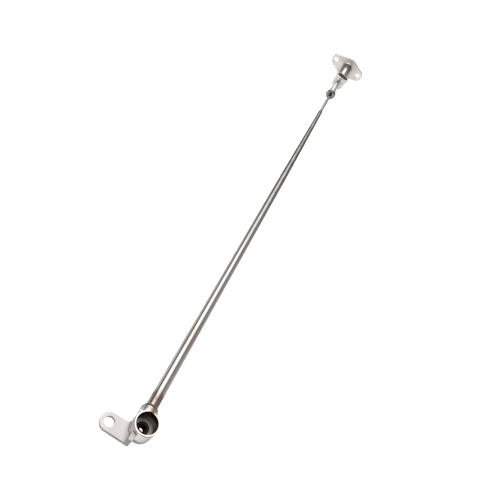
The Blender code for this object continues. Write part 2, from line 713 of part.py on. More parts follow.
def leg_outline():
    """Plan of the upright leg, hollowed at its inner end to clear the cup."""
    clear = CUP_DIAMETER / 2 + SEAT_GAP
    near_edge = -LUG_SETBACK - LUG_RADIUS
    leg_root = LEG_FACE - LUG_THICKNESS
    high = pi - asin(LEG_FACE / clear)
    low = pi - asin(leg_root / clear)
    return [(near_edge, leg_root), (near_edge, LEG_FACE)] + arc((0.0, 0.0), clear, high, low, 6)


def make_lug():
    """Lug plate that also floors the cup, with its corner bent up against the cup's side."""
    hole = ((-LUG_SETBACK, LUG_REACH), LUG_HOLE / 2, MEDIUM)
    floor_hole = ((0.0, 0.0), FLOOR_HOLE / 2, MEDIUM)
    lug = plate("lug_bracket", lug_outline(), [hole, floor_hole], LUG_THICKNESS, SATIN_STEEL)
    lug.location = CUP_CENTRE + Vector((0.0, 0.0, (FLOOR_TOP + FLOOR_BOTTOM) / 2))
    leg_foot = FLOOR_BOTTOM + LUG_THICKNESS / 2
    leg = plate("lug_leg", leg_outline(), [], LEG_TOP - leg_foot, SATIN_STEEL)
    leg.location = CUP_CENTRE + Vector((0.0, 0.0, (LEG_TOP + leg_foot) / 2))
    combine(lug, leg, "UNION")
    return lug


def make_swivel():
    """Flanged bush turning in the cup's floor, made in two halves, and its bolt sleeve."""
    body = FLOOR_HOLE / 2 - RUN_GAP
    flange = BUSH_FLANGE / 2
    bore = BUSH_BORE / 2
    top = FLOOR_TOP + SEAT_GAP + BUSH_FLANGE_THICKNESS
    bottom = FLOOR_BOTTOM - SEAT_GAP - BUSH_FLANGE_THICKNESS
    split = (FLOOR_TOP + FLOOR_BOTTOM) / 2
    upper = [
        (top, flange, EDGE_SMALL),
        (top - BUSH_FLANGE_THICKNESS, flange, 0.0),
        (top - BUSH_FLANGE_THICKNESS, body, 0.0),
        (split + SEAT_GAP / 2, body, 0.0),
        (split + SEAT_GAP / 2, bore, 0.0),
        (top, bore, EDGE_FINE),
    ]
    lower = [
        (split - SEAT_GAP / 2, body, 0.0),
        (bottom + BUSH_FLANGE_THICKNESS, body, 0.0),
        (bottom + BUSH_FLANGE_THICKNESS, flange, 0.0),
        (bottom, flange, EDGE_SMALL),
        (bottom, bore, EDGE_FINE),
        (split - SEAT_GAP / 2, bore, 0.0),
    ]
    return [
        turned("swivel_bush_upper", upper, BLACK_PLASTIC, CUP_CENTRE, upright=True, sides=MEDIUM),
        turned("swivel_bush_lower", lower, BLACK_PLASTIC, CUP_CENTRE, upright=True, sides=MEDIUM),
        ring("swivel_sleeve", bottom - SLEEVE_PROUD, top + SLEEVE_PROUD, SLEEVE_BORE / 2,
             bore - SEAT_GAP, SATIN_STEEL, CUP_CENTRE, upright=True),
    ]


# ================================================================ joints' empties
def joint_empty(name, place, parent=None):
    empty = bpy.data.objects.new(name, None)
    empty.empty_display_size = 0.02
    empty.location = place - (parent.location if parent else Vector((0.0, 0.0, 0.0)))
    empty.parent = parent
    STRUT.objects.link(empty)
    return empty


def hang_on(empty, place, pieces):
    """Parent pieces to an empty at the given place and keep them where they are."""
    for piece in pieces:
        piece.parent = empty
        piece.location = piece.location - place


def main():
    make_tube()
    make_chamber_plug()
    make_seal_pack()
    make_wiper()
    make_cup()
    make_socket_weld()
    make_lug()

    swivel_axis = joint_empty("swivel_axis", CUP_CENTRE)
    hang_on(swivel_axis, CUP_CENTRE, make_swivel())

    rod_place = on_axis(NOSE_TIP_X)
    rod_axis = joint_empty("rod_axis", rod_place)
    hang_on(rod_axis, rod_place, make_piston() + make_rod() + make_lock_nut() + make_rod_end())

    hinge_place = on_foot(HINGE_X)
    hinge_axis = joint_empty("foot_hinge_axis", hinge_place, rod_axis)
    foot = [make_fork(), *make_hinge_pin(), make_post(), make_post_weld(), make_flange()]
    hang_on(hinge_axis, hinge_place, foot)


main()
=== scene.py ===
"""Looks and studio of a gas strut stay with a pivot cup, a bored lug and a hinged foot.

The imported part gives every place: the strut lies along X, its foot's mounting face is the
plane X = 0 and both pivots stand along Z.  The visible metal is rebuilt here with rounded
edges and smooth turned sides, dressed in procedural finishes, and set on a pale floor.
"""

import json
import logging
import math
from dataclasses import dataclass
from enum import Enum
from typing import Any, Callable, Mapping, Optional, Sequence

import bmesh
import bpy
from mathutils import Matrix, Vector

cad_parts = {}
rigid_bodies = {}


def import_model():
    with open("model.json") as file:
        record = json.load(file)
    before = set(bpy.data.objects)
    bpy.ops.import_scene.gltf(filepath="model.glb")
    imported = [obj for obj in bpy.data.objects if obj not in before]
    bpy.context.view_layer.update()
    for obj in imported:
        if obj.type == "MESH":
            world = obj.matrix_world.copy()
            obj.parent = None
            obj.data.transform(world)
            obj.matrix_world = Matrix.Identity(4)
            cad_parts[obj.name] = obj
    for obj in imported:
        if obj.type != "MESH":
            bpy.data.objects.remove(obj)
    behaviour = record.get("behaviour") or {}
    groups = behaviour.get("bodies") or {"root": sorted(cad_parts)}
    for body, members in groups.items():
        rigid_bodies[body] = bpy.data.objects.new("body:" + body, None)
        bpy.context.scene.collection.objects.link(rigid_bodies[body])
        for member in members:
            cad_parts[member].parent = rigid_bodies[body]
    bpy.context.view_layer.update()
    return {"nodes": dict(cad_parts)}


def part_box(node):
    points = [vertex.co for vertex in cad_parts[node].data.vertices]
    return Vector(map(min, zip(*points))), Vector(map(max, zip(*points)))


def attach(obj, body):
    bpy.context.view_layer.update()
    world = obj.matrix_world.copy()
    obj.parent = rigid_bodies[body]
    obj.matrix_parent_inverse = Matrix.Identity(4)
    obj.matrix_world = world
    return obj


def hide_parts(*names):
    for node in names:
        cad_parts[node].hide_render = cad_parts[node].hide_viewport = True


LOG = logging.getLogger("gas_strut_stay")

MM = 0.001                     # one millimetre, in metres

# Edge breaks of turned pieces, in metres
EDGE_HAIR = 0.0001
EDGE_FINE = 0.0002
EDGE_SMALL = 0.0003
EDGE_MEDIUM = 0.0004
EDGE_LARGE = 0.0006
EDGE_BOLD = 0.0008
EDGE_ROUND = 0.0010

# Meshes
FINE_SIDES = 96                # sides of large turned pieces
ROD_SIDES = 72
CRISP_DEGREES = 32.0           # edges sharper than this stay crisp
FLAT_DEGREES = 0.6             # facets flatter than this become one face
WELD_DISTANCE = 0.002 * MM     # corners closer than this become one
AT_AXIS = 1e-7                 # radius below which a profile point is on its axis

# Weld beads
BEAD_STEPS = 7                 # points along the skin, less one
BEAD_HOLLOW = 0.22             # how far the middle of the skin sinks, as a share of the leg
RIPPLE_HEIGHT = 0.07           # as a share of the leg
RIPPLE_LEAN = 2.2              # radians that a ripple leans across the bead
RIPPLE_FADE = 1.1
RIPPLE_SIDES = 8               # sides of the bead for each ripple


# ================================================================ small shared helpers
def linear(hex_colour: str) -> tuple[float, float, float, float]:
    """Turn an sRGB hex colour into linear RGBA.

    Args:
        hex_colour: Colour such as "#A0B0C0".

    Returns:
        Red, green, blue and alpha, linear, from 0 to 1.
    """
    channels = [int(hex_colour[i:i + 2], 16) / 255 for i in (1, 3, 5)]
    curved = [c / 12.92 if c <= 0.04045 else ((c + 0.055) / 1.055) ** 2.4 for c in channels]
    return (curved[0], curved[1], curved[2], 1.0)


def add_node(tree: bpy.types.NodeTree, kind: str, settings: Optional[Mapping[Any, Any]] = None,
             links: Optional[Mapping[Any, bpy.types.NodeSocket]] = None) -> bpy.types.Node:
    """Add one node with its settings and links.

    Args:
        tree: Node tree that gets the node.
        kind: Blender's name for the node.
        settings: Attributes by name, or unlinked inputs by name or number.
        links: Sockets that feed the node's inputs, by name or number.

    Returns:
        The new node.
    """
    node = tree.nodes.new(kind)
    for key, value in (settings or {}).items():
        if isinstance(key, str) and hasattr(node, key):
            setattr(node, key, value)
        else:
            node.inputs[key].default_value = value
    for key, source in (links or {}).items():
        tree.links.new(source, node.inputs[key])
    return node


# ================================================================ finishes
class Grain(Enum):
    """Which way the marks of making run on a surface."""

    ALONG_X = "drawn or polished along the strut"
    TURNED_X = "rings left by turning about the strut's axis"
    TURNED_Z = "rings left by turning about an upright axis"
    EVEN = "the same in every direction, as blasted or moulded"

    def scale(self, fine_mm: float, long_mm: float) -> tuple[float, float, float]:
        """Pattern repeats per metre along X, Y and Z.

        Args:
            fine_mm: Spacing across the marks.
            long_mm: Length of one mark.

        Returns:
            Three scales for a mapping node.
        """
        fine, long = 1 / (fine_mm * MM), 1 / (long_mm * MM)
        return {
            Grain.ALONG_X: (long, fine, fine),
            Grain.TURNED_X: (fine, long, long),
            Grain.TURNED_Z: (long, long, fine),
            Grain.EVEN: (fine, fine, fine),
        }[self]


@dataclass(frozen=True)
class TintAndShadeBand:
    """Tone laid along a stretch of the strut: the oxide colour beside a weld, and painted shade that
    dims a highlight.

    The middle and the half width are places along X in metres.
    """

    middle: float
    half_width: float
    colour: str
    strength: float


@dataclass(frozen=True)
class FaceShadePatch:
    """Painted shade on faces that look one way, such as the cut edges of a plate.

    The patch is full where the share of the face's normal along the way reaches `full`, and
    gone where it reaches `gone`.  A two-way patch counts both directions.
    """

    way: tuple[float, float, float]
    gone: float
    full: float
    colour: str
    strength: float = 1.0
    two_way: bool = False


@dataclass(frozen=True)
class BoreShadePatch:
    """Painted shade inside an upright bore, round a centre in X and Y and out to a radius."""

    centre: tuple[float, float]
    radius: float
    colour: str
    strength: float


@dataclass(frozen=True)
class Finish:
    """A surface: colour with its spread, gloss with its spread, and the marks of making."""

    name: str = "finish"
    colour: str = "#808080"
    shade: str = "#707070"         # colour in the hollows of the marks
    stain: str = "#606060"         # colour of the handling film and smears
    stain_share: float = 0.15
    metallic: float = 1.0
    roughness: float = 0.30
    roughness_spread: float = 0.05
    edge_tint: str = "#FFFFFF"
    grain: Grain = Grain.EVEN
    fine_mm: float = 0.4
    long_mm: float = 12.0
    depth_mm: float = 0.01
    bump: float = 0.15
    stain_mm: float = 14.0
    specular: float = 0.5
    glow: float = 0.0              # light given off, for a back-lit sheet
    # heat tint beside welds, and painted shade, laid in bands along X
    tints_and_shade: tuple[TintAndShadeBand, ...] = ()
    # painted shade on faces that look a given way
    faces: tuple[FaceShadePatch, ...] = ()
    # painted shade inside upright bores
    bore_shades: tuple[BoreShadePatch, ...] = ()

    def material(self) -> bpy.types.Material:
        """Build the material once, and hand the same one back after that."""
        made = bpy.data.materials.get("look_" + self.name)
        if made is not None:
            return made
        material = bpy.data.materials.new("look_" + self.name)
        material.use_nodes = True
        tree = material.node_tree
        shader = tree.nodes["Principled BSDF"]
        shader.inputs["Metallic"].default_value = self.metallic
        shader.inputs["Specular Tint"].default_value = linear(self.edge_tint)
        shader.inputs["Specular IOR Level"].default_value = self.specular
        shader.inputs["Emission Strength"].default_value = self.glow
        coordinates = add_node(tree, "ShaderNodeTexCoord")
        place = coordinates.outputs["Object"]
        marks = self._marks(tree, place)
        smears = self._smears(tree, place)
        colour = self._colour(tree, place, marks, smears)
        # painted shade: faces that look a given way are darkened
        for patch in self.faces:
            colour = self._paint_face_shade(tree, coordinates.outputs["Normal"], colour, patch)
        # painted shade: what lies inside a bore is darkened
        for bore in self.bore_shades:
            colour = self._paint_bore_shade(tree, place, colour, bore)
        tree.links.new(colour, shader.inputs["Base Color"])
        tree.links.new(self._gloss(tree, marks, smears), shader.inputs["Roughness"])
        tree.links.new(self._relief(tree, marks), shader.inputs["Normal"])
        return material

    def _marks(self, tree: bpy.types.NodeTree, place: bpy.types.NodeSocket) -> bpy.types.NodeSocket:
        """Fine marks of making, as a value from 0 to 1 round one half."""
        mapping = add_node(tree, "ShaderNodeMapping",
                           {"Scale": self.grain.scale(self.fine_mm, self.long_mm)},
                           {"Vector": place})
        return add_node(tree, "ShaderNodeTexNoise", {"Scale": 1.0, "Detail": 4.0, "Roughness": 0.6},
                        {"Vector": mapping.outputs["Vector"]}).outputs["Fac"]

    def _smears(self, tree: bpy.types.NodeTree, place: bpy.types.NodeSocket) -> bpy.types.NodeSocket:
        """Broad handling film, as a share from 0 to the stain's own share."""
        broad = add_node(tree, "ShaderNodeTexNoise",
                         {"Scale": 1 / (self.stain_mm * MM), "Detail": 5.0, "Distortion": 0.6},
                         {"Vector": place})
        return add_node(tree, "ShaderNodeMapRange",
                        {"From Min": 0.42, "From Max": 0.72, "To Max": self.stain_share},
                        {"Value": broad.outputs["Fac"]}).outputs["Result"]

    def _colour(self, tree: bpy.types.NodeTree, place: bpy.types.NodeSocket,
                marks: bpy.types.NodeSocket, smears: bpy.types.NodeSocket) -> bpy.types.NodeSocket:
        """Base colour: marks, then smears, then bands of heat tint and painted shade."""
        share = add_node(tree, "ShaderNodeMapRange", {"From Min": 0.35, "From Max": 0.65},
                         {"Value": marks})
        colour = self._blend(tree, share.outputs["Result"], linear(self.shade), linear(self.colour))
        colour = self._blend(tree, smears, colour, linear(self.stain))
        for band in self.tints_and_shade:
            colour = self._lay_tint_and_shade(tree, place, colour, band)
        return colour

    @staticmethod
    def _blend(tree: bpy.types.NodeTree, share: bpy.types.NodeSocket, first: Any,
               second: Any) -> bpy.types.NodeSocket:
        """Blend two colours, each a socket or a fixed colour, by a share."""
        settings: dict[Any, Any] = {"data_type": "RGBA"}
        links: dict[Any, bpy.types.NodeSocket] = {0: share}
        for number, value in ((6, first), (7, second)):
            target = links if isinstance(value, bpy.types.NodeSocket) else settings
            target[number] = value
        return add_node(tree, "ShaderNodeMix", settings, links).outputs[2]

    def _lay_tint_and_shade(self, tree: bpy.types.NodeTree, place: bpy.types.NodeSocket,
                colour: bpy.types.NodeSocket, band: TintAndShadeBand) -> bpy.types.NodeSocket:
        """Lay one band over the base colour; some bands are heat tint, some are painted shade."""
        along = add_node(tree, "ShaderNodeSeparateXYZ", {}, {"Vector": place}).outputs["X"]
        from_middle = add_node(tree, "ShaderNodeMath", {"operation": "SUBTRACT", 1: band.middle},
                               {0: along})
        away = add_node(tree, "ShaderNodeMath", {"operation": "ABSOLUTE"},
                        {0: from_middle.outputs["Value"]})
        mask = add_node(tree, "ShaderNodeMapRange",
                        {"interpolation_type": "SMOOTHSTEP", "From Min": band.half_width,
                         "From Max": band.half_width * 0.25, "To Max": band.strength},
                        {"Value": away.outputs["Value"]})
        cloud = add_node(tree, "ShaderNodeTexNoise", {"Scale": 1 / (9.0 * MM), "Detail": 3.0},
                         {"Vector": place})
        patchy = add_node(tree, "ShaderNodeMapRange",
                          {"From Min": 0.30, "From Max": 0.60, "To Min": 0.35},
                          {"Value": cloud.outputs["Fac"]})
        share = add_node(tree, "ShaderNodeMath", {"operation": "MULTIPLY"},
                         {0: mask.outputs["Result"], 1: patchy.outputs["Result"]})
        return self._blend(tree, share.outputs["Value"], colour, linear(band.colour))

    def _paint_face_shade(self, tree: bpy.types.NodeTree, normal: bpy.types.NodeSocket,
               colour: bpy.types.NodeSocket, patch: FaceShadePatch) -> bpy.types.NodeSocket:
        """Lay a patch's painted shade over the faces that look its way."""
        along = add_node(tree, "ShaderNodeVectorMath", {"operation": "DOT_PRODUCT", 1: patch.way},
                         {0: normal}).outputs["Value"]
        if patch.two_way:
            along = add_node(tree, "ShaderNodeMath", {"operation": "ABSOLUTE"},
                             {0: along}).outputs["Value"]
        share = add_node(tree, "ShaderNodeMapRange",
                         {"From Min": patch.gone, "From Max": patch.full,
                          "To Max": patch.strength}, {"Value": along})
        return self._blend(tree, share.outputs["Result"], colour, linear(patch.colour))

    def _paint_bore_shade(self, tree: bpy.types.NodeTree, place: bpy.types.NodeSocket,
               colour: bpy.types.NodeSocket, bore: BoreShadePatch) -> bpy.types.NodeSocket:
        """Lay painted shade over what lies inside a bore's radius."""
        flat = add_node(tree, "ShaderNodeVectorMath",
                        {"operation": "MULTIPLY", 1: (1.0, 1.0, 0.0)}, {0: place})
        away = add_node(tree, "ShaderNodeVectorMath",
                        {"operation": "DISTANCE", 1: (bore.centre[0], bore.centre[1], 0.0)},
                        {0: flat.outputs["Vector"]})
        share = add_node(tree, "ShaderNodeMapRange",
                         {"From Min": bore.radius, "From Max": bore.radius - 0.1 * MM,
                          "To Max": bore.strength}, {"Value": away.outputs["Value"]})
        return self._blend(tree, share.outputs["Result"], colour, linear(bore.colour))

    def _gloss(self, tree: bpy.types.NodeTree, marks: bpy.types.NodeSocket,
               smears: bpy.types.NodeSocket) -> bpy.types.NodeSocket:
        """Roughness: finer in the marks, duller under the smears."""
        spread = add_node(tree, "ShaderNodeMapRange",
                          {"From Min": 0.3, "From Max": 0.7,
                           "To Min": self.roughness - self.roughness_spread,
                           "To Max": self.roughness + self.roughness_spread},
                          {"Value": marks})
        return add_node(tree, "ShaderNodeMath", {"operation": "MULTIPLY_ADD", 1: 0.35},
                        {0: smears, 2: spread.outputs["Result"]}).outputs["Value"]

    def _relief(self, tree: bpy.types.NodeTree,
                marks: bpy.types.NodeSocket) -> bpy.types.NodeSocket:
        """Bump from the marks of making."""
        return add_node(tree, "ShaderNodeBump",
                        {"Strength": self.bump, "Distance": self.depth_mm * MM},
                        {"Height": marks}).outputs["Normal"]


@dataclass(frozen=True)
class DrawnStainless(Finish):
    """Stainless tube, cold drawn and buffed: near mirror, with faint lines along it."""

    name: str = "drawn_stainless"
    colour: str = "#A19E9B"
    shade: str = "#93918E"
    stain: str = "#8A857F"
    roughness: float = 0.11
    roughness_spread: float = 0.03
    edge_tint: str = "#8C8C8C"
    grain: Grain = Grain.ALONG_X
    fine_mm: float = 0.35
    long_mm: float = 60.0
    depth_mm: float = 0.004
    bump: float = 0.10
    stain_mm: float = 22.0
    tints_and_shade: tuple[TintAndShadeBand, ...] = (
        TintAndShadeBand(-1.0650, 0.0120, "#5E4232", 0.80),
        TintAndShadeBand(-0.9880, 0.0260, "#96786A", 0.40),
        # painted shade: a grey band that darkens the tube from its middle to its nose, dimming the
        # highlight there
        TintAndShadeBand(-0.4800, 0.4200, "#73716F", 0.75),
    )


@dataclass(frozen=True)
class BuffedPost(Finish):
    """Stainless sleeve turned and buffed: bright, with fine rings round it."""

    name: str = "buffed_stainless"
    colour: str = "#D4D1CC"
    shade: str = "#C6C3BE"
    stain: str = "#B2ACA4"
    roughness: float = 0.14
    roughness_spread: float = 0.04
    edge_tint: str = "#A0A0A0"
    grain: Grain = Grain.TURNED_X
    fine_mm: float = 0.30
    long_mm: float = 30.0
    depth_mm: float = 0.004
    bump: float = 0.10


@dataclass(frozen=True)
class MachinedStainless(Finish):
    """Stainless cup turned on an upright axis and scotch-polished: soft rings, clean edges."""

    name: str = "machined_stainless"
    colour: str = "#DBD5D1"
    shade: str = "#C9C3BF"
    stain: str = "#B7A8A2"
    stain_share: float = 0.30
    roughness: float = 0.24
    roughness_spread: float = 0.05
    edge_tint: str = "#9A9A9A"
    grain: Grain = Grain.TURNED_Z
    fine_mm: float = 0.35
    long_mm: float = 16.0
    depth_mm: float = 0.008
    bump: float = 0.14
    stain_mm: float = 9.0
    tints_and_shade: tuple[TintAndShadeBand, ...] = (TintAndShadeBand(-1.0750, 0.0080, "#6A5A51", 0.75),)
    # painted shade: the cup's bore is darkened inside its radius
    bore_shades: tuple[BoreShadePatch, ...] = (BoreShadePatch((-1.0891, -0.0005), 0.0100, "#5E5148", 0.92),)


@dataclass(frozen=True)
class GroundPlate(Finish):
    """Stainless plate ground with fine belt: pale, matt, with short even scratches."""

    name: str = "ground_plate"
    colour: str = "#A09E9D"
    shade: str = "#989695"
    stain: str = "#A39897"
    stain_share: float = 0.35
    roughness: float = 0.36
    roughness_spread: float = 0.06
    fine_mm: float = 0.55
    depth_mm: float = 0.012
    bump: float = 0.16
    stain_mm: float = 11.0
    # painted shade: faces that look sideways are darkened
    faces: tuple[FaceShadePatch, ...] = (
        FaceShadePatch((0.0, 0.0, 1.0), 0.75, 0.45, "#66605C", 0.85, two_way=True),)


@dataclass(frozen=True)
class BlastedFlange(Finish):
    """Stainless plate blasted with glass bead: warm pale grey, evenly matt."""

    name: str = "blasted_plate"
    colour: str = "#C6C1BC"
    shade: str = "#B8B3AE"
    stain: str = "#B2ABA5"
    stain_share: float = 0.40
    roughness: float = 0.40
    roughness_spread: float = 0.06
    fine_mm: float = 0.45
    depth_mm: float = 0.015
    bump: float = 0.18
    stain_mm: float = 18.0
    # painted shade: the plate's edges, the faces that don't look along X, are darkened
    faces: tuple[FaceShadePatch, ...] = (
        FaceShadePatch((1.0, 0.0, 0.0), 0.75, 0.45, "#86807A", 0.80, two_way=True),)


@dataclass(frozen=True)
class TurnedRodEnd(Finish):
    """Stainless rod end turned on its own axis: satin, with fine feed rings."""

    name: str = "turned_stainless"
    colour: str = "#AFACA8"
    shade: str = "#9B9894"
    stain: str = "#918B85"
    roughness: float = 0.36
    roughness_spread: float = 0.06
    grain: Grain = Grain.TURNED_X
    fine_mm: float = 0.40
    long_mm: float = 20.0
    depth_mm: float = 0.010
    bump: float = 0.15


@dataclass(frozen=True)
class FusedWeld(Finish):
    """Weld bead as it cooled: straw to brown oxide over a rippled skin."""

    name: str = "fused_weld"
    colour: str = "#8B7767"
    shade: str = "#5C4A3E"
    stain: str = "#4E4A55"
    stain_share: float = 0.55
    roughness: float = 0.34
    roughness_spread: float = 0.10
    fine_mm: float = 0.8
    depth_mm: float = 0.05
    bump: float = 0.30
    stain_mm: float = 4.0


@dataclass(frozen=True)
class BrushedWeld(FusedWeld):
    """Weld bead brushed clean with stainless wire: bright crests, straw in the hollows."""

    name: str = "brushed_weld"
    colour: str = "#BDB8B2"
    shade: str = "#A39D96"
    stain: str = "#B0A08E"
    stain_share: float = 0.25
    roughness: float = 0.30


@dataclass(frozen=True)
class BlackenedSteel(Finish):
    """Steel nut in black oxide under a thin film of oil: near black with a brown cast."""

    name: str = "black_oxide_steel"
    colour: str = "#4C4641"
    shade: str = "#383430"
    stain: str = "#5E554C"
    stain_share: float = 0.30
    roughness: float = 0.30
    roughness_spread: float = 0.07
    grain: Grain = Grain.TURNED_X
    fine_mm: float = 0.45
    long_mm: float = 10.0
    depth_mm: float = 0.015
    bump: float = 0.20
    stain_mm: float = 5.0


@dataclass(frozen=True)
class PhosphatedSteel(BlackenedSteel):
    """Steel sleeve in dark manganese phosphate: matt and nearly black."""

    name: str = "phosphated_steel"
    colour: str = "#26221F"
    shade: str = "#191614"
    stain: str = "#342D28"
    roughness: float = 0.52
    edge_tint: str = "#505050"
    grain: Grain = Grain.EVEN


@dataclass(frozen=True)
class PolishedNutSteel(BlackenedSteel):
    """Stainless nut turned and polished: grey, with fine rings round the strut."""

    name: str = "polished_nut_steel"
    colour: str = "#7C7772"
    shade: str = "#6A6561"
    stain: str = "#5C544E"
    roughness: float = 0.13
    roughness_spread: float = 0.04
    depth_mm: float = 0.006
    bump: float = 0.10


@dataclass(frozen=True)
class HardChrome(Finish):
    """Rod ground, chromed and polished: the smoothest surface here, cool in colour."""

    name: str = "hard_chrome"
    colour: str = "#A6A5A4"
    shade: str = "#9B9A99"
    stain: str = "#8F8D8C"
    stain_share: float = 0.10
    roughness: float = 0.08
    roughness_spread: float = 0.02
    edge_tint: str = "#8C8C8C"
    grain: Grain = Grain.TURNED_X
    fine_mm: float = 0.25
    long_mm: float = 20.0
    depth_mm: float = 0.002
    bump: float = 0.05


@dataclass(frozen=True)
class TemperedSpring(Finish):
    """Spring steel tempered blue-grey."""

    name: str = "tempered_spring_steel"
    colour: str = "#7A7C86"
    shade: str = "#62646E"
    stain: str = "#5B5560"
    roughness: float = 0.33


@dataclass(frozen=True)
class MouldedNylon(Finish):
    """Glass-filled nylon moulded in black: low gloss with a fine leathery grain."""

    name: str = "moulded_nylon"
    colour: str = "#201B19"
    shade: str = "#0E0C0B"
    stain: str = "#3A312B"
    stain_share: float = 0.50
    metallic: float = 0.0
    specular: float = 0.10
    roughness: float = 0.58
    roughness_spread: float = 0.08
    fine_mm: float = 0.7
    depth_mm: float = 0.03
    bump: float = 0.30
    stain_mm: float = 5.0


@dataclass(frozen=True)
class NitrileRubber(Finish):
    """Nitrile rubber moulded in black: matt and slightly dusty."""

    name: str = "nitrile_rubber"
    colour: str = "#2B2A2A"
    shade: str = "#1C1B1B"
    stain: str = "#3F3C39"
    metallic: float = 0.0
    roughness: float = 0.68
    roughness_spread: float = 0.08
    fine_mm: float = 0.5
    depth_mm: float = 0.02
    bump: float = 0.25


@dataclass(frozen=True)
class SinteredBronze(Finish):
    """Oil-filled sintered bronze: brown-gold with an open even grain."""

    name: str = "sintered_bronze"
    colour: str = "#B8925E"
    shade: str = "#8E6C42"
    stain: str = "#6F5536"
    roughness: float = 0.38
    roughness_spread: float = 0.08
    fine_mm: float = 0.3
    depth_mm: float = 0.015
    bump: float = 0.25


@dataclass(frozen=True)
class TurnedAluminium(Finish):
    """Aluminium turned from bar: white-grey with clear feed rings."""

    name: str = "turned_aluminium"
    colour: str = "#DCDDDE"
    shade: str = "#C0C2C4"
    stain: str = "#B0B2B5"
    roughness: float = 0.28
    grain: Grain = Grain.TURNED_X
    fine_mm: float = 0.3
    long_mm: float = 10.0
    bump: float = 0.2


@dataclass(frozen=True)
class LightTable(Finish):
    """Studio floor of back-lit opal acrylic: near white, with a faint matt stipple."""

    name: str = "opal_acrylic"
    colour: str = "#F4F4F4"
    shade: str = "#F1F1F1"
    stain: str = "#EFEFEF"
    metallic: float = 0.0
    roughness: float = 0.80
    roughness_spread: float = 0.03
    fine_mm: float = 2.5
    depth_mm: float = 0.05
    bump: float = 0.05
    stain_mm: float = 400.0
    glow: float = 0.40


# ================================================================ mesh making
@dataclass(frozen=True)
class Corner:
    """One corner of a turned profile: place along the axis, radius and edge rounding."""

    along: float
    radius: float
    round: float = 0.0


def rounded(corners: Sequence[Corner], closed: bool, steps: int = 4) -> list[tuple[float, float]]:
    """Turn corners into profile points with rounded edges.

    Args:
        corners: Profile corners in order.
        closed: True where the last corner joins the first.
        steps: Points on each rounding, less one.

    Returns:
        Places along the axis with their radii.
    """
    points: list[tuple[float, float]] = []
    for index, corner in enumerate(corners):
        here = Vector((corner.along, corner.radius))
        at_end = not closed and index in (0, len(corners) - 1)
        if corner.round <= 0.0 or at_end:
            points.append((here.x, here.y))
            continue
        ends = []
        for other in (corners[index - 1], corners[(index + 1) % len(corners)]):
            towards = Vector((other.along, other.radius)) - here
            ends.append(here + towards.normalized() * min(corner.round, towards.length * 0.45))
        for step in range(steps + 1):
            share = step / steps
            point = (ends[0] * (1 - share) ** 2 + here * 2 * share * (1 - share)
                     + ends[1] * share ** 2)
            points.append((point.x, point.y))
    return points


def smooth_by_angle(mesh: bpy.types.Mesh, degrees: float = CRISP_DEGREES) -> None:
    """Shade a mesh smooth, with edges sharper than the angle kept crisp."""
    mesh.shade_smooth()
    mesh.set_sharp_from_angle(angle=math.radians(degrees))


def weigh_normals(piece: bpy.types.Object) -> None:
    """Let big flat faces set the shading of the small rounded edges beside them."""
    weigh = piece.modifiers.new("weighted normals", "WEIGHTED_NORMAL")
    weigh.keep_sharp = True


def spin(name: str, profile: Sequence[tuple[float, float]], place: Vector, upright: bool,
         closed: bool, sides: int,
         swell: Optional[Callable[[float, float], float]] = None) -> bpy.types.Object:
    """Spin a profile about its axis into a smooth solid.

    Args:
        name: Name of the new object.
        profile: Places along the axis with their radii.
        place: Where the profile's zero is, in metres.
        upright: True for an axis along Z, False for one along X.
        closed: True for a ring, False for a solid that meets its axis at both ends.
        sides: Number of sides.
        swell: Extra radius for a turn angle and a share of the way along the profile.

    Returns:
        The new object, with its place in its mesh.
    """
    work = bmesh.new()
    loops: list[list[bmesh.types.BMVert]] = []
    for number, (along, radius) in enumerate(profile):
        at_axis = radius < AT_AXIS
        loop = []
        for side in range(1 if at_axis else sides):
            turn = 2 * math.pi * side / sides
            wide = radius + (swell(turn, number / (len(profile) - 1)) if swell else 0.0)
            across, up = wide * math.cos(turn), wide * math.sin(turn)
            spot = Vector((across, up, along)) if upright else Vector((along, across, up))
            loop.append(work.verts.new(place + spot))
        loops.append(loop)
    pairs = list(zip(loops, loops[1:])) + ([(loops[-1], loops[0])] if closed else [])
    for first, second in pairs:
        for side in range(sides):
            after = (side + 1) % sides
            ring = [first[side % len(first)], first[after % len(first)],
                    second[after % len(second)], second[side % len(second)]]
            corners = list(dict.fromkeys(ring))
            if len(corners) > 2:
                work.faces.new(corners)
    bmesh.ops.recalc_face_normals(work, faces=work.faces)
    mesh = bpy.data.meshes.new(name)
    work.to_mesh(mesh)
    work.free()
    smooth_by_angle(mesh)
    piece = bpy.data.objects.new(name, mesh)
    bpy.context.scene.collection.objects.link(piece)
    weigh_normals(piece)
    return piece


def refined(node: bpy.types.Object, name: str, edge_mm: float) -> bpy.types.Object:
    """Copy a CAD node's shape into a new piece with welded corners and softened edges.

    Args:
        node: The CAD node, which isn't touched.
        name: Name of the new object.
        edge_mm: Width of the softened edges.

    Returns:
        The new object.
    """
    work = bmesh.new()
    work.from_mesh(node.data)
    bmesh.ops.remove_doubles(work, verts=work.verts, dist=WELD_DISTANCE)
    bmesh.ops.dissolve_limit(work, angle_limit=math.radians(FLAT_DEGREES), verts=work.verts,
                             edges=work.edges)
    mesh = bpy.data.meshes.new(name)
    work.to_mesh(mesh)
    work.free()
    if mesh.attributes.get("custom_normal"):
        mesh.attributes.remove(mesh.attributes["custom_normal"])
    smooth_by_angle(mesh)
    piece = bpy.data.objects.new(name, mesh)
    bpy.context.scene.collection.objects.link(piece)
    soften = piece.modifiers.new("softened edges", "BEVEL")
    soften.width = edge_mm * MM
    soften.segments = 2
    soften.limit_method = "ANGLE"
    soften.angle_limit = math.radians(CRISP_DEGREES)
    soften.harden_normals = True
    return piece


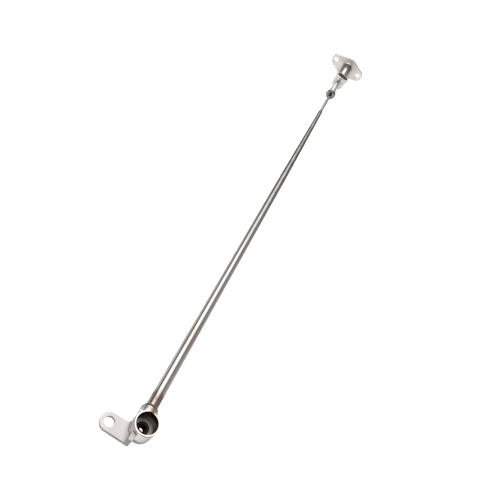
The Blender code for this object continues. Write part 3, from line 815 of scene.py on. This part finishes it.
def weld_bead(name: str, inner: float, leg: float, towards: float, place: Vector,
              ripples: int) -> bpy.types.Object:
    """Build a fillet weld whose skin has the ripples of its passes.

    Args:
        name: Name of the new object.
        inner: Radius of the bar that the bead lies round.
        leg: Length of both legs.
        towards: 1 if the bead runs to +X from its root, -1 if to -X.
        place: Centre of the root.
        ripples: Number of ripples round the bead.

    Returns:
        The new object.
    """
    skin = []
    for step in range(BEAD_STEPS + 1):
        turn = math.pi / 2 * step / BEAD_STEPS
        sink = 1.0 - BEAD_HOLLOW * math.sin(2 * turn)
        skin.append((towards * leg * math.sin(turn) * sink, inner + leg * math.cos(turn) * sink))
    profile = skin + [(0.0, inner)]
    height = leg * RIPPLE_HEIGHT

    def swell(turn: float, share: float) -> float:
        """Ripple that leans round the bead and dies out at its toes."""
        lean = turn * ripples + share * RIPPLE_LEAN
        fade = math.sin(math.pi * min(share * RIPPLE_FADE, 1.0))
        return height * (abs(math.sin(lean / 2)) - 0.5) * fade

    return spin(name, profile, place, upright=False, closed=True, sides=ripples * RIPPLE_SIDES,
                swell=swell)


# ================================================================ sub-assemblies
@dataclass
class SubAssembly:
    """Pieces that ride on one CAD body."""

    nodes: Mapping[str, bpy.types.Object]
    body: str = ""

    def place(self, piece: bpy.types.Object, finish: Finish, slot: str,
              *replaced: str) -> bpy.types.Object:
        """Dress a piece and hang it on the body.

        Args:
            piece: The new piece, already in place.
            finish: Its finish.
            slot: The record's material slot; not used.
            replaced: CAD nodes that it stands for.

        Returns:
            The same piece.
        """
        piece.data.materials.clear()
        piece.data.materials.append(finish.material())
        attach(piece, self.body)
        if replaced:
            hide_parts(*replaced)
        LOG.info("%s rides on %s in %s", piece.name, self.body, finish.name)
        return piece

    def dress(self, finishes: Mapping[str, Finish]) -> None:
        """Give CAD nodes their finish where their shape stays as it is."""
        for node, finish in finishes.items():
            for slot in self.nodes[node].material_slots:
                slot.material = finish.material()
            LOG.info("%s stays, in %s", node, finish.name)


def ring_profile(low: float, high: float, inner: float, outer: float,
                 edge: float) -> list[tuple[float, float]]:
    """Profile of a plain ring with rounded outer and inner edges.

    Args:
        low: Near end along the axis.
        high: Far end along the axis.
        inner: Bore radius.
        outer: Outer radius.
        edge: Rounding of the outer edges; the inner ones get half of it.

    Returns:
        Rounded profile points.
    """
    return rounded([Corner(high, outer, edge), Corner(low, outer, edge),
                    Corner(low, inner, edge / 2), Corner(high, inner, edge / 2)], closed=True)


@dataclass
class Cylinder(SubAssembly):
    """Pressure tube with what is inside it, the pivot cup, its lug and the socket's weld."""

    body: str = "cylinder"
    axis_y: float = 0.0025
    tube_start: float = -1.0780
    tube_length: float = 0.7420
    nose_length: float = 0.2780
    taper_blend: float = 0.020     # length over which the straight tube turns into its taper
    tube_radius: float = 0.0054
    bore_radius: float = 0.0042
    tip_radius: float = 0.00405
    tip_bore: float = 0.00325
    socket_face: float = -1.0737
    weld_leg: float = 0.0016
    seat_gap: float = 0.0003
    ripples: int = 26

    def build_tube(self) -> None:
        """Build the drawn tube with its long swaged nose."""
        taper = self.tube_length - self.nose_length
        profile = rounded([
            Corner(self.tube_length, self.tip_radius, EDGE_FINE),
            Corner(taper, self.tube_radius, self.taper_blend),
            Corner(0.0, self.tube_radius, EDGE_SMALL),
            Corner(0.0, self.bore_radius),
            Corner(taper, self.bore_radius),
            Corner(self.tube_length, self.tip_bore),
        ], closed=True)
        tube = spin("drawn_tube", profile, Vector((self.tube_start, self.axis_y, 0.0)),
                    upright=False, closed=True, sides=FINE_SIDES)
        self.place(tube, DrawnStainless(), "polished_stainless", "pressure_tube")

    def build_bead(self) -> None:
        """Build the rippled weld bead where the tube leaves the socket."""
        bead = weld_bead("socket_bead", self.tube_radius + self.seat_gap, self.weld_leg, 1.0,
                         Vector((self.socket_face + self.seat_gap, self.axis_y, 0.0)),
                         self.ripples)
        self.place(bead, FusedWeld(), "welded_steel", "socket_weld")

    def build_cup(self) -> None:
        """Build the cup with its socket, and the lug plate under it."""
        self.place(refined(self.nodes["pivot_cup"], "cup_shell", 0.18), MachinedStainless(),
                   "satin_stainless", "pivot_cup")
        self.place(refined(self.nodes["lug_bracket"], "lug_plate", 0.30), GroundPlate(),
                   "satin_stainless", "lug_bracket")

    def build(self) -> None:
        """Build and dress the whole body."""
        self.build_tube()
        self.build_bead()
        self.build_cup()
        self.dress({
            "chamber_plug": TurnedAluminium(),
            "plug_o_ring": NitrileRubber(),
            "rod_guide": SinteredBronze(),
            "rod_seal": NitrileRubber(),
            "seal_washer": TurnedRodEnd(),
            "guide_circlip": TemperedSpring(),
            "rod_wiper": NitrileRubber(),
        })


@dataclass
class Swivel(SubAssembly):
    """Flanged bush in the cup's floor, in two halves, and its bolt sleeve."""

    body: str = "swivel"

    def build(self) -> None:
        """Build and dress the bush and sleeve."""
        for node in ("swivel_bush_upper", "swivel_bush_lower"):
            self.place(refined(self.nodes[node], node + "_moulding", 0.12), MouldedNylon(),
                       "black_plastic", node)
        self.place(refined(self.nodes["swivel_sleeve"], "swivel_tube", 0.12),
                   PhosphatedSteel(), "satin_stainless", "swivel_sleeve")


@dataclass
class PistonPack(SubAssembly):
    """Piston, its ring and its check washer, all hidden in the tube."""

    body: str = "piston"

    def build(self) -> None:
        """Dress the hidden pieces."""
        self.dress({
            "piston": TurnedAluminium(),
            "piston_ring": NitrileRubber(),
            "piston_washer": TemperedSpring(),
        })


@dataclass
class Rod(SubAssembly):
    """Chromed rod, lock nut with its washer and jam ring, and the rod end."""

    body: str = "rod"
    axis_y: float = 0.0025
    rod_radius: float = 0.0030
    spigot_length: float = 0.0158
    spigot_radius: float = 0.0015
    nut_x: float = -0.2280
    nut_radius: float = 0.0107
    nut_length: float = 0.0090
    nut_crown: float = 0.00825
    nut_dome: float = 0.0025
    nut_nose: float = 0.0055
    washer_radius: float = 0.0080
    washer_length: float = 0.0012
    jam_radius: float = 0.0061
    jam_length: float = 0.0060
    seat_gap: float = 0.0003

    def build_rod(self) -> None:
        """Build the rod smooth, with the shoulder and spigot that the CAD node has."""
        low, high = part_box("piston_rod")
        shoulder = low.x + self.spigot_length
        length = high.x - shoulder
        profile = rounded([
            Corner(length, 0.0),
            Corner(length, self.rod_radius, EDGE_LARGE),
            Corner(0.0, self.rod_radius, EDGE_MEDIUM),
            Corner(0.0, self.spigot_radius),
            Corner(-self.spigot_length, self.spigot_radius, EDGE_FINE),
            Corner(-self.spigot_length, 0.0),
        ], closed=False)
        rod = spin("chromed_rod", profile, Vector((shoulder, self.axis_y, 0.0)), upright=False,
                   closed=False, sides=ROD_SIDES)
        self.place(rod, HardChrome(), "hard_chrome", "piston_rod")

    def build_nut(self) -> None:
        """Build the domed lock nut, its thin bright washer and the jam ring behind it."""
        inner = self.rod_radius + self.seat_gap
        start = Vector((self.nut_x, self.axis_y, 0.0))
        profile = rounded([
            Corner(self.nut_length, self.nut_crown, EDGE_MEDIUM),
            Corner(self.nut_length - self.nut_dome, self.nut_radius, EDGE_ROUND),
            Corner(0.0, self.nut_radius, self.nut_nose),
            Corner(0.0, inner, EDGE_SMALL),
            Corner(self.nut_length, inner),
        ], closed=True)
        nut = spin("lock_nut_body", profile, start, upright=False, closed=True, sides=FINE_SIDES)
        self.place(nut, PolishedNutSteel(), "dark_steel", "lock_nut")
        washer_start = self.nut_length + self.seat_gap
        washer = spin("lock_washer_ring",
                      ring_profile(washer_start, washer_start + self.washer_length, inner,
                                   self.washer_radius, EDGE_SMALL),
                      start, upright=False, closed=True, sides=FINE_SIDES)
        self.place(washer, BuffedPost(), "satin_stainless", "lock_washer")
        jam_start = washer_start + self.washer_length + self.seat_gap
        jam = spin("jam_ring_body",
                   ring_profile(jam_start, jam_start + self.jam_length, inner, self.jam_radius,
                                EDGE_BOLD),
                   start, upright=False, closed=True, sides=FINE_SIDES)
        self.place(jam, BlackenedSteel(), "dark_steel", "jam_ring")

    def build_end(self) -> None:
        """Build the rod end, and dress what is hidden in it."""
        self.place(refined(self.nodes["rod_end"], "rod_end_body", 0.20), TurnedRodEnd(),
                   "satin_stainless", "rod_end")
        self.dress({"knuckle_bush": SinteredBronze(), "piston_nut": TurnedRodEnd()})

    def build(self) -> None:
        """Build and dress the whole body."""
        self.build_rod()
        self.build_nut()
        self.build_end()


@dataclass
class Foot(SubAssembly):
    """Hinge fork with its pin and caps, the post, its weld and the two-bolt flange."""

    body: str = "foot"
    hinge_x: float = -0.1260
    barrel_above: float = 0.0155
    barrel_below: float = 0.0125
    cap_recess: float = 0.0016
    cap_sink: float = 0.0003
    seat_gap: float = 0.0003
    top_cap_radius: float = 0.0134
    foot_cap_radius: float = 0.0100
    cap_dish: float = 0.0005
    dish_share: float = 0.80       # radius of the dish's floor, as a share of the cap's
    rim_share: float = 0.88        # inner radius of the rim, as a share of the cap's
    dish_blend: float = 0.0012
    post_start: float = 0.0215
    post_end: float = 0.1157
    post_bore: float = 0.0089
    post_radius: float = 0.0120
    weld_leg: float = 0.0018
    ripples: int = 34

    @property
    def hinge(self) -> Vector:
        """Centre of the hinge."""
        return Vector((self.hinge_x, 0.0, 0.0))

    def build_caps(self) -> None:
        """Build the two black caps, each slightly dished inside a raised rim."""
        for name, node, radius, face, way in (
            ("cap_top_moulding", "hinge_cap_top", self.top_cap_radius, self.barrel_above, 1.0),
            ("cap_foot_moulding", "hinge_cap_bottom", self.foot_cap_radius,
             self.barrel_below, -1.0),
        ):
            outer = way * (face - self.cap_sink)
            inner = way * (face - self.cap_recess + self.seat_gap)
            dish = outer - way * self.cap_dish
            profile = rounded([
                Corner(dish, 0.0),
                Corner(dish, radius * self.dish_share, self.dish_blend),
                Corner(outer, radius * self.rim_share, EDGE_SMALL),
                Corner(outer, radius, EDGE_SMALL),
                Corner(inner, radius, EDGE_HAIR),
                Corner(inner, 0.0),
            ], closed=False)
            cap = spin(name, profile, self.hinge, upright=True, closed=False, sides=FINE_SIDES)
            self.place(cap, MouldedNylon(), "black_plastic", node)

    def build_post(self) -> None:
        """Build the buffed post and the rippled bead that joins it to the flange."""
        post = spin("post_sleeve",
                    ring_profile(self.post_start, self.post_end, self.post_bore,
                                 self.post_radius, EDGE_LARGE),
                    self.hinge, upright=False, closed=True, sides=FINE_SIDES)
        self.place(post, BuffedPost(), "polished_stainless", "foot_post")
        bead = weld_bead("post_bead", self.post_radius + self.seat_gap, self.weld_leg, -1.0,
                         self.hinge + Vector((self.post_end, 0.0, 0.0)), self.ripples)
        self.place(bead, BrushedWeld(), "welded_steel", "post_weld")

    def build(self) -> None:
        """Build and dress the whole body."""
        self.place(refined(self.nodes["hinge_fork"], "fork_body", 0.25), TurnedRodEnd(),
                   "satin_stainless", "hinge_fork")
        self.build_caps()
        self.build_post()
        self.place(refined(self.nodes["foot_flange"], "flange_plate", 0.35), BlastedFlange(),
                   "satin_stainless", "foot_flange")
        self.dress({"hinge_pin": HardChrome()})


# ================================================================ studio
@dataclass(frozen=True)
class SoftBox:
    """One large soft light, aimed at a point."""

    name: str
    place: tuple[float, float, float]
    target: tuple[float, float, float]
    width: float
    depth: float
    watts: float

    def build(self) -> None:
        """Hang the light."""
        lamp = bpy.data.lights.new(self.name, "AREA")
        lamp.shape = "RECTANGLE"
        lamp.size = self.width
        lamp.size_y = self.depth
        lamp.energy = self.watts
        holder = bpy.data.objects.new(self.name, lamp)
        holder.location = self.place
        aim = Vector(self.target) - Vector(self.place)
        holder.rotation_euler = aim.to_track_quat("-Z", "Y").to_euler()
        bpy.context.scene.collection.objects.link(holder)


@dataclass(frozen=True)
class Studio:
    """Back-lit pale floor, long soft panels over the strut, and the camera.

    The panels light the object; the camera itself sees a plain white wall behind it.
    """

    floor_half: float = 14.0
    floor_drop: float = 0.0001
    panel_strength: float = 3.0
    behind: tuple[float, float] = (-0.75, -0.30)     # the room's dark end, as shares along X
    behind_share: float = 0.25
    wall_colour: str = "#FFFFFF"
    # Degrees from straight up, towards +Y, with how bright the panels are there.
    panels: tuple[tuple[float, float], ...] = (
        (-90.0, 0.14), (-78.0, 0.12), (-70.0, 0.30), (-54.0, 0.32), (-44.0, 0.14),
        (-28.0, 0.14), (-14.0, 0.45), (-5.0, 1.00), (38.0, 1.00), (52.0, 0.50),
        (64.0, 0.12), (78.0, 0.10), (90.0, 0.12),
    )
    camera_place: tuple[float, float, float] = (-1.27799, 0.05237, 0.38634)
    camera_right: tuple[float, float, float] = (0.3131, -0.8112, 0.4938)
    camera_up: tuple[float, float, float] = (0.5713, 0.5762, 0.5845)
    softbox: SoftBox = SoftBox(name="long_panel", place=(-0.45, 0.60, 1.35),
                               target=(-0.55, 0.0, 0.0), width=2.4, depth=0.5, watts=6.0)
    lens_mm: float = 33.97
    sensor_mm: float = 36.0

    def build_floor(self, lowest: float) -> None:
        """Lay the floor just under the object.

        Args:
            lowest: The object's lowest height, in metres.
        """
        mesh = bpy.data.meshes.new("studio_floor")
        half, height = self.floor_half, lowest - self.floor_drop
        mesh.from_pydata([(-half, -half, height), (half, -half, height), (half, half, height),
                          (-half, half, height)], [], [(0, 1, 2, 3)])
        mesh.materials.append(LightTable().material())
        floor = bpy.data.objects.new("studio_floor", mesh)
        bpy.context.scene.collection.objects.link(floor)

    def build_panels(self) -> None:
        """Build the room's light: long panels that run beside the strut."""
        world = bpy.data.worlds.new("studio_panels")
        bpy.context.scene.world = world
        world.use_nodes = True
        tree = world.node_tree
        way = add_node(tree, "ShaderNodeTexCoord").outputs["Generated"]
        parts = add_node(tree, "ShaderNodeSeparateXYZ", {}, {"Vector": way})
        lean = add_node(tree, "ShaderNodeMath", {"operation": "ARCTAN2"},
                        {0: parts.outputs["Y"], 1: parts.outputs["Z"]})
        share = add_node(tree, "ShaderNodeMapRange",
                         {"From Min": -math.pi / 2, "From Max": math.pi / 2},
                         {"Value": lean.outputs["Value"]})
        ramp = add_node(tree, "ShaderNodeValToRGB", {}, {"Fac": share.outputs["Result"]})
        stops = ramp.color_ramp.elements
        while len(stops) < len(self.panels):
            stops.new(0.5)
        for stop, (degrees, _) in zip(stops, self.panels):
            stop.position = degrees / 180 + 0.5
        for stop, (_, bright) in zip(stops, self.panels):
            stop.color = (bright, bright, bright, 1.0)
        behind = add_node(tree, "ShaderNodeMapRange",
                          {"From Min": self.behind[0], "From Max": self.behind[1],
                           "To Min": self.behind_share * self.panel_strength,
                           "To Max": self.panel_strength}, {"Value": parts.outputs["X"]})
        panel = tree.nodes["Background"]
        tree.links.new(ramp.outputs["Color"], panel.inputs["Color"])
        tree.links.new(behind.outputs["Result"], panel.inputs["Strength"])
        wall = add_node(tree, "ShaderNodeBackground", {"Color": linear(self.wall_colour)})
        seen = add_node(tree, "ShaderNodeLightPath").outputs["Is Camera Ray"]
        room = add_node(tree, "ShaderNodeMixShader", {},
                        {0: seen, 1: panel.outputs["Background"], 2: wall.outputs["Background"]})
        tree.links.new(room.outputs["Shader"], tree.nodes["World Output"].inputs["Surface"])

    def build_camera(self) -> None:
        """Set the camera up."""
        lens = bpy.data.cameras.new("studio_camera")
        lens.lens = self.lens_mm
        lens.sensor_width = self.sensor_mm
        lens.clip_start = 0.01
        lens.clip_end = 100.0
        camera = bpy.data.objects.new("studio_camera", lens)
        right = Vector(self.camera_right).normalized()
        back = right.cross(Vector(self.camera_up)).normalized()
        up = back.cross(right)
        turn = Matrix((right, up, back)).transposed().to_4x4()
        camera.matrix_world = Matrix.Translation(Vector(self.camera_place)) @ turn
        bpy.context.scene.collection.objects.link(camera)
        bpy.context.scene.camera = camera

    def build(self, lowest: float) -> None:
        """Build the whole studio over and under the object."""
        bpy.context.scene.view_settings.view_transform = "Standard"
        self.build_floor(lowest)
        self.build_panels()
        self.softbox.build()
        self.build_camera()


def clear_stage() -> None:
    """Remove the start-up objects, so that only the part and its studio are in the scene."""
    for piece in list(bpy.data.objects):
        bpy.data.objects.remove(piece, do_unlink=True)


def main() -> None:
    """Build the object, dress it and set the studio."""
    logging.basicConfig(level=logging.INFO, format="%(name)s: %(message)s")
    clear_stage()
    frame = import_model()
    nodes = frame["nodes"]
    for part in (Cylinder(nodes), Swivel(nodes), PistonPack(nodes), Rod(nodes), Foot(nodes)):
        part.build()
        LOG.info("%s is built", part.body)
    lowest = min(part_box(node)[0].z for node in nodes)
    Studio().build(lowest)


if __name__ == "__main__":
    main()
